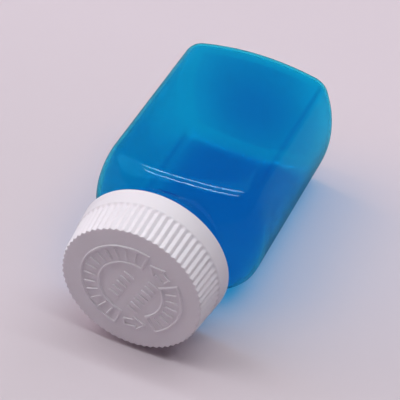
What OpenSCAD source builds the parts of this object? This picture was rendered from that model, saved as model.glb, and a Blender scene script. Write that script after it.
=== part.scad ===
// Oblong screw-cap vial: a blow-moulded blue bottle lying on a broad side, closed by a
// push-and-turn cap made of a ribbed outer cap, a spring ring, a threaded inner cap and a liner.
// Each piece is drawn along its own axis, base at height 0 and cap upwards, then laid down.

/* [Bottle] */
// Width of the body across its two side panels
body_w = 58.7; // [57:0.1:62]
// Depth of the body across its two broad panels
body_d = 47.3; // [45:0.1:49]
// How far each broad panel bows outward at its middle
broad_bow = 3.4; // [2.5:0.1:4]
// How far each side panel bows outward at its middle
side_bow = 5.0; // [4.2:0.1:5.6]
// How much of each sharp body corner is taken off along its diagonal
corner_cut = 0.65; // [0.2:0.05:1.2]
// Height from the base up to the shoulder at the body's corners
corner_h = 66.4; // [60:0.1:68]
// Radius of the shoulder's dome
dome_r = 37; // [36:0.1:40]
// Height of the bottle from its base to its lip
bottle_h = 96.4; // [94:0.1:120]
// Wall of the body
wall = 0.9; // [0.6:0.05:1.3]
// Radius of the rounded heel between the panels and the base
heel_r = 4.0; // [3:0.1:5.5]
// Diameter of the hollow under the base
base_hollow_d = 31; // [24:1:34]
// Depth of the hollow under the base
base_hollow_h = 1.8; // [1:0.1:3]

/* [Neck] */
// Diameter of the neck between its threads
neck_d = 39.4; // [38.8:0.1:40]
// Radius of the hollow curve between shoulder and neck
neck_fillet = 5.0; // [4:0.1:6]
// Wall of the neck
neck_wall = 1.7; // [1.4:0.1:2.5]
// Rise of the thread in one turn
thread_pitch = 4.233; // [3.8:0.001:4.6]
// Height of the thread ridge
thread_depth = 1.2; // [1:0.05:1.3]
// Width of the thread ridge at its foot
thread_foot_w = 2.4; // [2:0.1:2.5]
// Width of the thread ridge at its crest
thread_crest_w = 0.9; // [0.6:0.1:1]
// Number of turns of the thread
thread_turns = 1.25; // [1:0.05:1.35]
// Distance from the lip to the middle of the thread's upper end
thread_top = 2.6; // [2.2:0.1:3]

/* [Outer cap] */
// Height of the outer cap
cap_h = 17.4; // [16.8:0.1:18]
// Wall of the outer cap behind its ribs at the face
outer_wall = 0.5; // [0.4:0.05:1]
// How much wider the radius of the outer cap is at its rim than at its face
cap_flare = 1.9; // [1.6:0.1:2.4]
// Number of grip ribs
rib_count = 66; // [48:1:72]
// Depth of the grip ribs
rib_depth = 0.5; // [0.3:0.05:0.6]
// Length of the grip ribs from the face
rib_len = 11.5; // [8:0.1:13]
// How far the smooth band below the ribs stands out past their crests
band_step = 0.2; // [0.1:0.05:0.4]
// Thickness of the outer cap's top
outer_top = 1.4; // [1:0.1:2]
// Height of the bead that holds the inner cap
bead_h = 1.0; // [0.6:0.1:1.2]
// How far the bead reaches under the inner cap's flange
bead_catch = 0.5; // [0.3:0.05:0.6]
// Height of the raised marks on the face
mark_h = 0.45; // [0.2:0.05:0.6]
// Width of the raised marks on the face
mark_w = 0.85; // [0.6:0.05:1.1]
// Radius of the inner edge line of the two framed arcs
frame_in_r = 10.8; // [9:0.1:12]
// Radius of the outer edge line of the two framed arcs
frame_out_r = 17.0; // [15:0.1:18]
// Length of the turn arrows
arrow_l = 7.0; // [5:0.1:8]
// Width of the turn arrows' heads
arrow_w = 5.2; // [4.6:0.1:5.6]
// Width of the raised line around the turn arrows
arrow_line_w = 0.7; // [0.5:0.05:0.85]

/* [Inner cap, spring ring and liner] */
// Thickness of the inner cap's top
inner_top = 1.1; // [0.8:0.1:1.6]
// Wall of the inner cap's skirt
inner_wall = 1.0; // [0.8:0.05:1.1]
// Length of the inner cap's skirt below its top
inner_skirt = 9.3; // [9:0.1:9.8]
// How far the flange at the inner cap's rim stands out
flange_out = 0.35; // [0.2:0.05:0.4]
// Height of that flange
flange_h = 1.0; // [0.6:0.1:1.4]
// Width of the inner cap's thread ridge at its foot
ridge_foot_w = 2.0; // [1.6:0.1:2.1]
// Width of the inner cap's thread ridge at its crest
ridge_crest_w = 0.8; // [0.5:0.1:0.9]
// Number of drive lugs on each cap
lug_count = 12; // [6:6:12]
// Height of the drive lugs
lug_h = 1.2; // [0.8:0.1:1.6]
// Length of the drive lugs along a radius
lug_l = 4.0; // [2:0.1:5]
// Angle that one drive lug covers
lug_angle = 9; // [5:1:11]
// Thickness of the spring ring and its fingers
spring_t = 0.6; // [0.4:0.05:0.6]
// Inner radius of the spring ring
spring_in_r = 8; // [6:0.5:10]
// Number of spring fingers
finger_count = 6; // [4:1:8]
// Width of a spring finger
finger_w = 3.2; // [2:0.1:4]
// Length of a spring finger
finger_l = 6.4; // [5:0.1:7]
// Thickness of the liner
liner_t = 1.2; // [0.8:0.1:1.6]

/* [Fits] */
// Play between the two threads
thread_play = 0.35; // [0.3:0.05:0.4]
// Play between the inner and the outer cap
cap_play = 0.35; // [0.3:0.05:0.4]
// Space between the lugs of the two caps while the cap is at rest
lug_gap = 0.4; // [0.3:0.05:0.6]
// Space between the spring fingers and the outer cap
spring_play = 0.05; // [0.02:0.01:0.1]

/* [Hidden] */
$fn = 96;
eps = 0.01;
half_w = body_w / 2;
half_d = body_d / 2;
corner_x = half_w - side_bow;
corner_y = half_d - broad_bow;
broad_r = (corner_x * corner_x + broad_bow * broad_bow) / (2 * broad_bow);
side_r = (corner_y * corner_y + side_bow * side_bow) / (2 * side_bow);
corner_r = norm([corner_x, corner_y]) - corner_cut;
neck_r = neck_d / 2;
mouth_r = neck_r - neck_wall;
thread_r = neck_r + thread_depth;
// How deep a thread ridge is rooted in its wall
ridge_root = 0.3;
// Angle of one step along a thread ridge
ridge_step = 10;
// Number of steps along a rounded edge of the bottle's profile
round_steps = 6;

// Heights of the stacked pieces, from the lip up to the face of the outer cap
inner_top_z = bottle_h + liner_t;
lug_z = inner_top_z + inner_top;
plate_gap = 2 * lug_h + lug_gap;
outer_top_z = lug_z + plate_gap;
face_z = outer_top_z + outer_top;
rim_z = face_z - cap_h;
inner_rim_z = inner_top_z - inner_skirt;
bead_z = inner_rim_z - lug_gap - bead_h;
total_l = face_z + mark_h;

// Middle of the shoulder's dome, which passes through the body's corners
dome_z = corner_h - sqrt(dome_r * dome_r - corner_r * corner_r);
hollow_r = (base_hollow_d * base_hollow_d / 4 + base_hollow_h * base_hollow_h) / (2 * base_hollow_h);

// Radii of the closure, from the thread outwards
inner_bore_r = thread_r + thread_play;
inner_r = inner_bore_r + inner_wall;
flange_r = inner_r + flange_out;
cavity_r = inner_r + cap_play;
cavity_rim_r = flange_r + 2 * cap_play;
bead_r = flange_r - bead_catch;
cap_front_r = cavity_r + outer_wall + rib_depth;
cap_rim_r = cap_front_r + cap_flare;
axis_z = max(half_d, cap_rim_r);
lug_out_r = inner_r - inner_wall;
lug_in_r = lug_out_r - lug_l;
spring_out_r = lug_in_r - inner_wall;
frame_mid_r = (frame_in_r + frame_out_r) / 2;
thread_low_z = bottle_h - thread_top - thread_pitch * thread_turns;

// Lays a piece down along the Y axis: cap to the front, broad sides up and down, lowest point on the ground.
module lay() {
  translate([0, total_l / 2, axis_z])
    rotate([90, 0, 0])
      children();
}

// Points along an arc in a profile, from one angle to another.
function arc(r, mid, from_a, to_a, first = 0) = [for (i = [first:round_steps])
  let (a = from_a + (to_a - from_a) * i / round_steps)
  mid + r * [cos(a), sin(a)]];

// Rounded edge between the base and a wall that stands at radius r.
function heel_points(r, inset, floor_z) =
  arc(heel_r - inset, [r - heel_r + inset, floor_z + heel_r - inset], -90, 0);

// One bowed panel as the edge of a large disc with a rounded heel.
module panel_disc(half, panel_r, inset, floor_z, top_z) {
  r = panel_r - inset;
  translate([half - panel_r, 0, 0])
    rotate_extrude()
      polygon(concat([[0, floor_z]], heel_points(r, inset, floor_z), [[r, top_z], [0, top_z]]));
}

// Round form that cuts the body's corners, domes its shoulder and draws it in to a neck of radius tip_r.
module round_form(inset, floor_z, top_z, tip_r) {
  r = corner_r - inset;
  dome = dome_r - inset;
  hollow = neck_fillet + inset;
  mid_r = tip_r + hollow;
  mid_h = sqrt(pow(dome + hollow, 2) - mid_r * mid_r);
  meet_a = atan2(mid_h, mid_r);
  rotate_extrude()
    polygon(concat([[0, floor_z]], heel_points(r, inset, floor_z),
      arc(dome, [0, dome_z], acos(r / dome), meet_a),
      arc(hollow, [mid_r, dome_z + mid_h], 180 + meet_a, 180, 1),
      [[tip_r, top_z], [0, top_z]]));
}

// Whole form of the bottle up to top_z, drawn in from its outer surface by an inset.
module bottle_form(inset, floor_z, top_z, tip_r) {
  intersection() {
    panel_disc(half_w, side_r, inset, floor_z, top_z);
    rotate(90) panel_disc(half_d, broad_r, inset, floor_z, top_z);
    rotate(180) panel_disc(half_w, side_r, inset, floor_z, top_z);
    rotate(270) panel_disc(half_d, broad_r, inset, floor_z, top_z);
    round_form(inset, floor_z, top_z, tip_r);
  }
}

// Round rise of the base above the hollow under it.
module base_rise(r) {
  translate([0, 0, base_hollow_h - hollow_r]) sphere(r);
}

// Helical ridge whose width falls from foot_w at foot_r to crest_w at crest_r.
module thread_ridge(foot_r, crest_r, foot_w, crest_w, low_z, low_turn) {
  steps = ceil(thread_turns * 360 / ridge_step);
  outward = crest_r > foot_r;
  outline = [[foot_r, -foot_w / 2], [crest_r, -crest_w / 2], [crest_r, crest_w / 2], [foot_r, foot_w / 2]];
  points = [for (i = [0:steps])
    let (a = low_turn + thread_turns * 360 * i / steps,
         z = low_z + thread_pitch * thread_turns * i / steps)
    for (p = outline)
      [p[0] * cos(a), p[0] * sin(a), z + p[1]]];
  sides = [for (i = [0:steps - 1]) for (k = [0:3])
    let (a = 4 * i + k, b = 4 * i + (k + 1) % 4)
    for (f = [[b + 4, a + 4, a], [b, b + 4, a]])
      outward ? f : [f[2], f[1], f[0]]];
  last = 4 * steps;
  ends = outward
    ? [[3, 2, 1, 0], [last, last + 1, last + 2, last + 3]]
    : [[0, 1, 2, 3], [last + 3, last + 2, last + 1, last]];
  polyhedron(points = points, faces = concat(sides, ends), convexity = 6);
}

module bottle() {
  color([0.02, 0.42, 0.72])
    lay()
      difference() {
        union() {
          difference() {
            bottle_form(0, 0, bottle_h, neck_r);
            base_rise(hollow_r);
          }
          thread_ridge(neck_r - ridge_root, thread_r, thread_foot_w, thread_crest_w, thread_low_z, 0);
        }
        difference() {
          bottle_form(wall, wall, bottle_h + wall, mouth_r);
          base_rise(hollow_r + wall);
        }
      }
}

module liner() {
  color([0.93, 0.93, 0.9])
    lay()
      translate([0, 0, bottle_h]) cylinder(r = inner_bore_r - cap_play, h = liner_t);
}

// Sector of a ring that stands on height 0.
module ring_sector(in_r, out_r, from_a, to_a, h) {
  rotate(from_a)
    rotate_extrude(angle = to_a - from_a)
      translate([in_r, -eps]) square([out_r - in_r, h + eps]);
}

// Ring of drive lugs that stands on height 0.
module lug_ring(turn) {
  for (i = [0:lug_count - 1])
    let (a = turn + i * 360 / lug_count)
      ring_sector(lug_in_r, lug_out_r, a - lug_angle / 2, a + lug_angle / 2, lug_h);
}

module inner_cap() {
  ridge_z = inner_rim_z + ridge_foot_w / 2 + eps;
  // The ridge lies half a pitch above the bottle's ridge, and a little nearer the next turn of it.
  mesh_z = thread_low_z + thread_pitch / 2 + thread_play;
  ridge_turn = 360 * (ridge_z - mesh_z) / thread_pitch;
  color([0.95, 0.94, 0.93])
    lay()
      union() {
        difference() {
          rotate_extrude()
            polygon([[0, lug_z], [inner_r, lug_z], [inner_r, inner_rim_z + flange_h + flange_out],
              [flange_r, inner_rim_z + flange_h], [flange_r, inner_rim_z], [0, inner_rim_z]]);
          translate([0, 0, inner_rim_z - wall]) cylinder(r = inner_bore_r, h = inner_skirt + wall);
        }
        thread_ridge(inner_bore_r + ridge_root, neck_r + thread_play, ridge_foot_w, ridge_crest_w,
          ridge_z, ridge_turn);
        translate([0, 0, lug_z]) lug_ring(0);
      }
}

module spring_ring() {
  slope = asin((plate_gap - spring_t - spring_play) / finger_l);
  color([0.9, 0.9, 0.88])
    lay()
      translate([0, 0, lug_z])
        union() {
          difference() {
            cylinder(r = spring_out_r, h = spring_t);
            translate([0, 0, -eps]) cylinder(r = spring_in_r, h = spring_t + 2 * eps);
          }
          for (i = [0:finger_count - 1])
            rotate(i * 360 / finger_count)
              translate([(spring_in_r + spring_out_r - finger_w) / 2, 0, 0])
                rotate([slope, 0, 0])
                  cube([finger_w, finger_l, spring_t]);
        }
}

// Outline of the ribbed grip at the face: round-topped ribs on a round core.
function rib_outline() = [for (i = [0:rib_count * 6 - 1])
  let (a = 60 * i / rib_count,
       r = cap_front_r - rib_depth * (1 - cos(60 * i)) / 2)
  [r * cos(a), r * sin(a)]];

// Raised line around one framed arc.
module face_frame(from_a, to_a) {
  bar_a = mark_w / frame_mid_r * 180 / PI;
  difference() {
    ring_sector(frame_in_r - mark_w / 2, frame_out_r + mark_w / 2, from_a, to_a, mark_h);
    translate([0, 0, -eps])
      ring_sector(frame_in_r + mark_w / 2, frame_out_r - mark_w / 2,
        from_a + bar_a, to_a - bar_a, 2 * mark_h);
  }
}

// Outline of a turn arrow, drawn in from its outer edge by an inset.
function arrow_outline(inset) =
  let (n = [arrow_l, arrow_w] / norm([arrow_l, arrow_w]),
       reach = arrow_w / 2 * n[0] - inset,
       stem = arrow_w / 4 - inset,
       head = (reach - inset * n[1]) / n[0],
       tail = inset - arrow_l / 2)
  [[-stem, tail], [stem, tail], [stem, inset], [head, inset],
    [0, reach / n[1]], [-head, inset], [-stem, inset]];

// Raised line around an arrow that points the way the cap turns to open.
module face_arrow(a) {
  rotate(a)
    translate([frame_mid_r, 0, -eps])
      difference() {
        linear_extrude(mark_h + eps) polygon(arrow_outline(0));
        translate([0, 0, -eps]) linear_extrude(2 * mark_h) polygon(arrow_outline(arrow_line_w));
      }
}

// Two framed arcs, one long and one short, with a turn arrow in each space between them.
module face_marks() {
  long_arc = [72, 254];
  short_arc = [302, 387];
  for (span = [long_arc, short_arc])
    face_frame(span[0], span[1]);
  face_arrow((short_arc[1] + long_arc[0] + 360) / 2);
  face_arrow((long_arc[1] + short_arc[0]) / 2);
}

module outer_cap() {
  draft = (cap_flare - band_step) / cap_h;
  rib_end_r = cap_front_r + draft * rib_len;
  band_r = rib_end_r + band_step;
  color([0.96, 0.94, 0.95])
    lay()
      union() {
        difference() {
          union() {
            translate([0, 0, face_z])
              mirror([0, 0, 1])
                linear_extrude(height = rib_len + wall, scale = (rib_end_r + draft * wall) / cap_front_r)
                  polygon(rib_outline());
            rotate_extrude()
              polygon([[0, rim_z], [cap_rim_r, rim_z], [band_r, face_z - rib_len], [0, face_z - rib_len]]);
          }
          rotate_extrude()
            polygon([[0, rim_z - wall], [cavity_rim_r, rim_z - wall], [cavity_rim_r, bead_z],
              [bead_r, bead_z + bead_h / 3], [bead_r, bead_z + bead_h], [cavity_rim_r, bead_z + bead_h],
              [cavity_rim_r, inner_rim_z + 2 * flange_h], [cavity_r, outer_top_z], [0, outer_top_z]]);
        }
        translate([0, 0, outer_top_z]) mirror([0, 0, 1]) lug_ring(180 / lug_count);
        translate([0, 0, face_z]) face_marks();
      }
}

bottle();
liner();
inner_cap();
spring_ring();
outer_cap();
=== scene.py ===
"""Looks of an oblong blue screw-cap vial that lies on a broad side, with a white push-and-turn cap."""

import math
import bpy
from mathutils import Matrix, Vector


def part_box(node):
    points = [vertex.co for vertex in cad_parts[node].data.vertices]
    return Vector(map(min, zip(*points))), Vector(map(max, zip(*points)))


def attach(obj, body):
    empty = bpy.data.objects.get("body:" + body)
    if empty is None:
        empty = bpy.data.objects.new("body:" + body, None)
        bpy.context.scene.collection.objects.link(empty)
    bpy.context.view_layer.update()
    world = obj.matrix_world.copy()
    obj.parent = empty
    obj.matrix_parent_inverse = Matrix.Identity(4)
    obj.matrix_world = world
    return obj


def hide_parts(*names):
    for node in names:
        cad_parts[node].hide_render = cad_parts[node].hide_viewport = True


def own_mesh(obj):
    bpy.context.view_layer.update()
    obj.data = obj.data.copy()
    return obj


bl_info = {
    "name": "Oblong Screw-Cap Vial",
    "version": (1, 0, 0),
    "blender": (4, 5, 0),
    "location": "View3D > Sidebar > Vial",
    "description": "Builds the blown bottle, the ribbed cap, its inner pieces and a plain stage",
    "category": "Object",
}

import bmesh
import bpy
import numpy as np
from mathutils import Vector

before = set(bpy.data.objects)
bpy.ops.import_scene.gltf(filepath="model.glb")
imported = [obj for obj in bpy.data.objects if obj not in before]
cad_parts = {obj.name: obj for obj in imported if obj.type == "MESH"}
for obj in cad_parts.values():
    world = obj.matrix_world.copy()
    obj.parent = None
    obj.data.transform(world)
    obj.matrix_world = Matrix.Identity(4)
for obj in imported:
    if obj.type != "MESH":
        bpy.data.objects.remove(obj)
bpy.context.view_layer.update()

MM = 0.001
BOTTLE_LOW, BOTTLE_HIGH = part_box("bottle")
CAP_LOW, CAP_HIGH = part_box("outer_cap")
SPRING_LOW, SPRING_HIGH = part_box("spring_ring")
# The vial's axis runs along Y at this height, and every height along it counts from the base.
AXIS_Z = (BOTTLE_LOW.z + BOTTLE_HIGH.z) / 2
BASE_Y = BOTTLE_HIGH.y
HALF_WIDTH = (BOTTLE_HIGH.x - BOTTLE_LOW.x) / 2
HALF_DEPTH = (BOTTLE_HIGH.z - BOTTLE_LOW.z) / 2
LIP_H = BASE_Y - BOTTLE_LOW.y
RIM_H = BASE_Y - CAP_HIGH.y
MARK_TOP_H = BASE_Y - CAP_LOW.y
RIM_RADIUS = (CAP_HIGH.x - CAP_LOW.x) / 2
SPRING_FOOT_H = BASE_Y - SPRING_HIGH.y
SPRING_TOP_H = BASE_Y - SPRING_LOW.y


def size(label, about, millimetres):
    """A length property whose default is given in millimetres."""
    return bpy.props.FloatProperty(
        name=label, description=about, default=millimetres * MM, min=0.0, unit="LENGTH", precision=5
    )


def count(label, about, number):
    """A whole-number property."""
    return bpy.props.IntProperty(name=label, description=about, default=number, min=1)


def share(label, about, number):
    """A property between nothing and one."""
    return bpy.props.FloatProperty(
        name=label, description=about, default=number, min=0.0, max=1.0, subtype="FACTOR"
    )


def angle(label, about, degrees):
    """An angle property whose default is given in degrees."""
    return bpy.props.FloatProperty(
        name=label, description=about, default=math.radians(degrees), subtype="ANGLE", unit="ROTATION"
    )


def colour(label, about, red, green, blue):
    """A colour property in linear light."""
    return bpy.props.FloatVectorProperty(
        name=label, description=about, default=(red, green, blue),
        min=0.0, max=1.0, size=3, subtype="COLOR"
    )


def position(label, about, x, y, z):
    """A place property in metres."""
    return bpy.props.FloatVectorProperty(
        name=label, description=about, default=(x, y, z), size=3, subtype="TRANSLATION", unit="LENGTH"
    )


def level(label, about, number):
    """A property that is nothing or more."""
    return bpy.props.FloatProperty(name=label, description=about, default=number, min=0.0)


class VialBottleSettings(bpy.types.PropertyGroup):
    """Sizes and finish of the blown bottle."""

    broad_bow: size("Broad bow", "How far each broad panel bows outward at its middle", 3.4)
    side_bow: size("Side bow", "How far each side panel bows outward at its middle", 5.0)
    corner_round: size("Corner round", "Radius of the four long corners", 7.4)
    wall: size("Wall", "Wall of the body", 0.9)
    base_round: size("Base round", "Radius of the heel round the base", 4.0)
    hollow_radius: size("Hollow radius", "Radius of the hollow under the base", 15.5)
    hollow_rise: size("Hollow rise", "Depth of the hollow under the base", 1.8)
    gate_radius: size("Gate radius", "Radius of the nub that the mould leaves on the base", 2.4)
    gate_rise: size("Gate rise", "Height of that nub", 0.2)
    corner_height: size("Corner height", "Height from the base to the shoulder at the corners", 66.4)
    dome_radius: size("Dome radius", "Radius of the shoulder's dome", 37.0)
    shoulder_round: size("Shoulder round", "Length that the round of the shoulder's crease takes", 5.0)
    neck_hollow: size("Neck hollow", "Radius of the hollow curve between shoulder and neck", 0.8)
    neck_radius: size("Neck radius", "Radius of the neck between its threads", 19.7)
    mouth_radius: size("Mouth radius", "Radius of the mouth", 18.0)
    lip_round: size("Lip round", "Radius of the lip's edges", 0.5)
    thread_pitch: size("Thread pitch", "Rise of the thread in one turn", 4.233)
    thread_depth: size("Thread depth", "Height of the thread ridge", 1.2)
    thread_foot: size("Thread foot", "Width of the thread ridge at its foot", 2.4)
    thread_crest: size("Thread crest", "Width of the thread ridge at its crest", 0.9)
    thread_top: size("Thread top", "Distance from the lip to the thread's upper end", 2.6)
    thread_turns: bpy.props.FloatProperty(
        name="Thread turns", description="Number of turns of the thread", default=1.25, min=0.5, max=2.0
    )
    tint: colour("Tint", "Light that one wall of the blue plastic lets through", 0.02, 0.61, 0.87)
    base_tint: colour("Base tint", "Light that the base's thick middle lets through", 0.01, 0.38, 0.76)
    # Painted light: the next tint lightens the sides near the base; partly thinner plastic there.
    corner_light_tint: colour("Corner tint", "Light that the thin lower corners let through", 0.04, 0.71, 0.94)
    heel_tint: colour("Heel tint", "Light that the rounded heel lets through", 0.03, 0.72, 0.93)
    # Painted shade: the next tint darkens a line along the middle of each long corner; partly a thicker
    # wall there.
    edge_shade_tint: colour("Edge tint", "Light that the thicker long corners let through", 0.015, 0.51, 0.82)
    clearness: share("Clearness", "Share of the light that passes straight through the plastic", 1.0)


class VialCapSettings(bpy.types.PropertyGroup):
    """Sizes and finish of the outer cap."""

    face_radius: size("Face radius", "Radius over the ribs at the face", 23.6)
    rib_count: count("Ribs", "Number of grip ribs", 66)
    rib_depth: size("Rib depth", "Depth of the grooves between the ribs", 0.5)
    rib_length: size("Rib length", "Length of the ribs from the face", 11.5)
    band_step: size("Band step", "How far the smooth band stands out past the ribs", 0.2)
    edge_round: size("Edge round", "Radius of the edge of the face", 0.3)
    rim_round: size("Rim round", "Radius of the edge of the rim", 0.5)
    top_thickness: size("Top thickness", "Thickness of the cap's top", 1.4)
    cavity_radius: size("Cavity radius", "Radius of the room for the inner cap at its top", 22.6)
    cavity_rim: size("Cavity rim", "Radius of that room at the rim", 23.3)
    bead_radius: size("Bead radius", "Radius inside the bead that holds the inner cap", 22.1)
    bead_height: size("Bead height", "Height of that bead", 1.0)
    bead_start: size("Bead start", "Distance from the rim to the bead", 1.4)
    cavity_step: size("Cavity step", "Distance from the rim to the narrower room", 4.8)
    lug_count: count("Lugs", "Number of drive lugs under the top", 12)
    lug_inner: size("Lug inner radius", "Inner radius of the drive lugs", 17.25)
    lug_outer: size("Lug outer radius", "Outer radius of the drive lugs", 21.25)
    lug_height: size("Lug height", "Height of the drive lugs", 1.2)
    lug_angle: angle("Lug angle", "Angle that one drive lug covers", 9.0)
    mark_height: size("Mark height", "Height of the raised marks on the face", 0.45)
    mark_width: size("Mark width", "Width of the raised lines on the face", 0.85)
    frame_inner: size("Frame inner radius", "Radius of the inner line of the framed arcs", 10.8)
    frame_outer: size("Frame outer radius", "Radius of the outer line of the framed arcs", 17.0)
    arrow_length: size("Arrow length", "Length of the turn arrows", 7.0)
    arrow_width: size("Arrow width", "Width of the turn arrows' heads", 5.2)
    long_bars: count("Bars in the long frame", "Number of plain bars in the long frame", 13)
    short_bars: count("Bars in the short frame", "Number of plain bars in the short frame", 6)
    bar_length: size("Bar length", "Length of the plain bars in the frames and the middle", 3.3)
    bar_width: size("Bar width", "Width of the plain bars", 0.62)
    white: colour("White", "Colour of the moulded cap", 0.88, 0.8, 0.86)


class VialInnerSettings(bpy.types.PropertyGroup):
    """Sizes and finish of the pieces inside the cap."""

    spring_inner: size("Spring inner radius", "Inner radius of the spring ring", 8.0)
    spring_outer: size("Spring outer radius", "Outer radius of the spring ring", 16.25)
    spring_thickness: size("Spring thickness", "Thickness of the spring ring", 0.6)
    finger_count: count("Fingers", "Number of spring fingers", 6)
    finger_width: size("Finger width", "Width of a spring finger", 3.2)
    finger_length: size("Finger length", "Length of a spring finger", 6.4)
    pressed_share: share("Pressed share", "Height the spring keeps when the cap is pressed", 0.45)
    natural: colour("Natural plastic", "Colour of the inner cap and spring", 0.84, 0.83, 0.79)
    foam: colour("Liner foam", "Colour of the liner", 0.8, 0.79, 0.74)


class VialStageSettings(bpy.types.PropertyGroup):
    """Camera, light and floor."""

    camera_place: position("Camera place", "Where the camera stands", 0.14035, -0.37758, 0.37904)
    camera_turn: bpy.props.FloatVectorProperty(
        name="Camera turn", description="How the camera is turned",
        default=(math.radians(48.328), math.radians(-3.625), math.radians(23.444)),
        size=3, subtype="EULER"
    )
    lens: bpy.props.FloatProperty(
        name="Lens", description="Focal length in millimetres on a 36 mm sensor", default=146.9, min=1.0
    )
    floor_half: size("Floor half", "Half the length of the square floor", 6000.0)
    floor_tone: colour("Floor", "Colour of the pale floor behind the vial", 0.735, 0.62, 0.69)
    # Painted shade: the floor is given a darker colour in front of the vial.
    front_shade_tone: colour("Floor front", "Colour of the floor in front of the vial", 0.645, 0.555, 0.605)
    mirrored_tone: colour(
        "Mirrored floor", "Colour of floor and air as shiny things mirror them", 0.115, 0.195, 0.26
    )
    mirrored_level: share("Mirrored level", "Strength of the air as shiny things mirror it", 0.5)
    tube_place: position("Tube place", "Middle between the two overhead tubes", -0.1, 0.0875, 2.75)
    tube_gap: size("Tube gap", "Distance between the two overhead tubes", 925.0)
    tube_length: size("Tube length", "Length of a tube from left to right", 4450.0)
    tube_width: size("Tube width", "Width of a tube", 112.0)
    tube_light: colour("Tube light", "Colour of the tubes' light", 0.86, 1.0, 1.0)
    tube_power: level("Tube power", "Power of one tube in watts", 20.8)
    soft_light: colour("Soft light", "Colour of the soft box's and the panel's light", 1.0, 0.955, 0.965)
    box_place: position("Soft box place", "Where the soft box on the left stands", -3.1, -0.4, 2.6)
    box_width: size("Soft box width", "Width of the soft box", 3000.0)
    box_length: size("Soft box length", "Length of the soft box from front to back", 5000.0)
    box_power: level("Soft box power", "Power of the soft box in watts", 98.0)
    panel_place: position("Panel place", "Where the broad overhead panel hangs", 0.6, 0.8, 2.9)
    panel_width: size("Panel width", "Width of the overhead panel", 2500.0)
    panel_length: size("Panel length", "Length of the overhead panel from front to back", 3000.0)
    panel_power: level("Panel power", "Power of the overhead panel in watts", 34.0)
    sky_light: colour("Sky light", "Colour of the even light all round", 1.0, 0.96, 0.98)
    sky_strength: level("Sky strength", "Strength of the even light all round", 0.06)


def lay(across, up, height):
    """Points of the vial's own frame, laid down: across and up from the axis, height from the base."""
    across, up, height = np.broadcast_arrays(across, up, height)
    return np.stack([across, BASE_Y - height, AXIS_Z + up], axis=-1)


def turned(radius, theta, height):
    """Laid-down points at a radius and an angle round the axis."""
    return lay(radius * np.cos(theta), radius * np.sin(theta), height)


def make_piece(name, points, faces, sharp_degrees, material):
    """A smooth-shaded object with outward normals and edges kept sharp above an angle."""
    mesh = bpy.data.meshes.new(name)
    mesh.from_pydata([tuple(p) for p in points], [], faces)
    shaped = bmesh.new()
    shaped.from_mesh(mesh)
    bmesh.ops.recalc_face_normals(shaped, faces=shaped.faces)
    shaped.to_mesh(mesh)
    shaped.free()
    mesh.shade_smooth()
    mesh.set_sharp_from_angle(angle=math.radians(sharp_degrees))
    mesh.validate()
    piece = bpy.data.objects.new(name, mesh)
    bpy.context.scene.collection.objects.link(piece)
    mesh.materials.append(material)
    return piece


def ring_faces(ring_count, column_count):
    """Quads between neighbouring rings of points, each ring closed on itself."""
    faces = []
    for ring in range(ring_count - 1):
        low = ring * column_count
        high = low + column_count
        for column in range(column_count):
            after = (column + 1) % column_count
            faces.append((low + column, low + after, high + after, high + column))
    return faces


def loop_faces(ring_count, column_count):
    """Quads between neighbouring rings of points, and from the last ring on to the first."""
    total = ring_count * column_count
    return [tuple(i % total for i in face) for face in ring_faces(ring_count + 1, column_count)]


def fan_faces(tip, first, column_count):
    """Triangles from one point to a closed ring."""
    return [
        (tip, first + column, first + (column + 1) % column_count)
        for column in range(column_count)
    ]


def lathe(rings, theta, start_height, end_height):
    """Points and faces of a closed skin over rings of radius and height, with a point at each end."""
    radius = np.stack([np.broadcast_to(r, theta.shape) for r, _ in rings])
    height = np.stack([np.broadcast_to(h, theta.shape) for _, h in rings])
    ring_points = turned(radius, theta[None, :], height).reshape(-1, 3)
    tips = lay(np.zeros(2), np.zeros(2), np.array([start_height, end_height]))
    points = np.concatenate([ring_points, tips])
    columns = len(theta)
    start_tip = len(ring_points)
    faces = ring_faces(len(rings), columns)
    faces += fan_faces(start_tip, 0, columns)
    faces += fan_faces(start_tip + 1, (len(rings) - 1) * columns, columns)
    return points, faces


def smooth_step(value):
    """Eases from nothing to one."""
    value = np.clip(value, 0.0, 1.0)
    return value * value * (3 - 2 * value)


def bow_radius(half_span, bow):
    """Radius of an arc that rises by its bow over half a span."""
    return (half_span**2 + bow**2) / (2 * bow)


def quarter_turn(number):
    """Steps round an edge: shares of its radius to go along one side and gone along the other."""
    return [(1 - math.sin(t), 1 - math.cos(t)) for t in np.linspace(0.0, math.pi / 2, number)]


def even_rings(start, end, number):
    """Rings of radius and height that lead evenly from one ring to another."""
    return [
        ((1 - t) * start[0] + t * end[0], (1 - t) * start[1] + t * end[1])
        for t in np.linspace(0.0, 1.0, number)
    ]


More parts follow.
